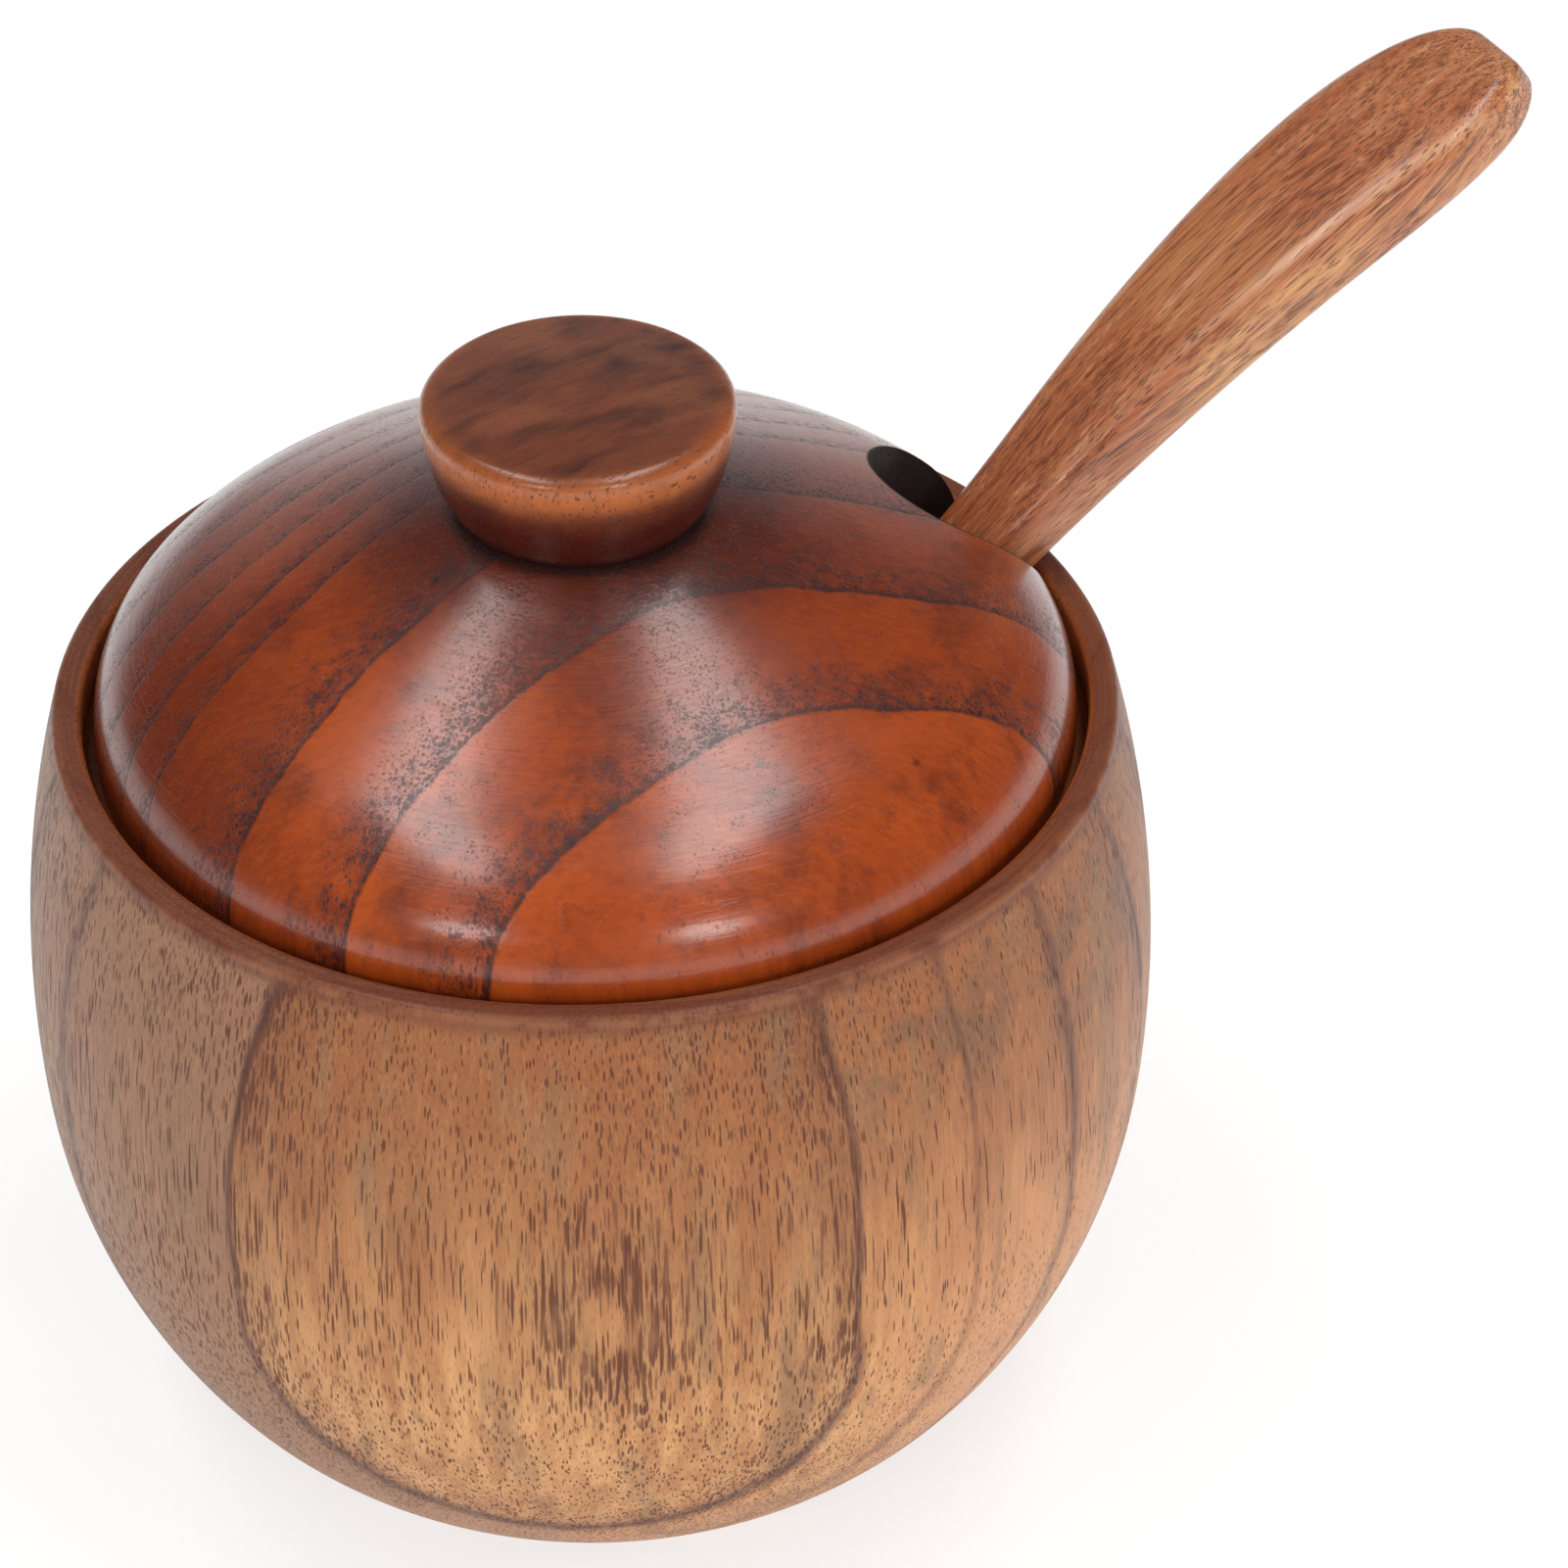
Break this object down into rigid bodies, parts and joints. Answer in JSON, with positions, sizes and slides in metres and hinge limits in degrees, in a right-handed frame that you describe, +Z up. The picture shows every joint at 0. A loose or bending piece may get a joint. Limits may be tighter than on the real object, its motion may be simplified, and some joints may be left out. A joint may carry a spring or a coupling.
{
  "type": "seasoning jar",
  "caption": "Round-bellied turned wooden seasoning jar with a drop-in domed lid, a knob, and a carved spoon that leaves through a notch in the lid.",
  "frame": {"origin": "centre of the flat foot that the jar stands on", "axes": "+Z up along the jar's turning axis; the spoon lies in the XZ plane and leaves the lid's notch towards +X"},
  "size_m": [0.1399, 0.097, 0.1095],
  "materials": {
    "jar_wood": "satin lacquer",
    "lid_wood": "gloss lacquer",
    "knob_wood": "gloss lacquer",
    "spoon_wood": "satin oil"
  },
  "bodies": {
    "jar": {"jar_body": "jar_wood"},
    "lid": {"lid": "lid_wood", "lid_knob": "knob_wood"},
    "spoon": {"spoon": "spoon_wood"}
  },
  "joints": [
    {"name": "lid_lift", "type": "slide", "parent": "jar", "child": "lid", "axis": [0, 0, 1], "range_m": [0, 0.13]},
    {"name": "spoon_slide", "type": "slide", "parent": "jar", "child": "spoon", "axis": [0.8202, 0, 0.5721], "range_m": [0, 0.05]}
  ]
}
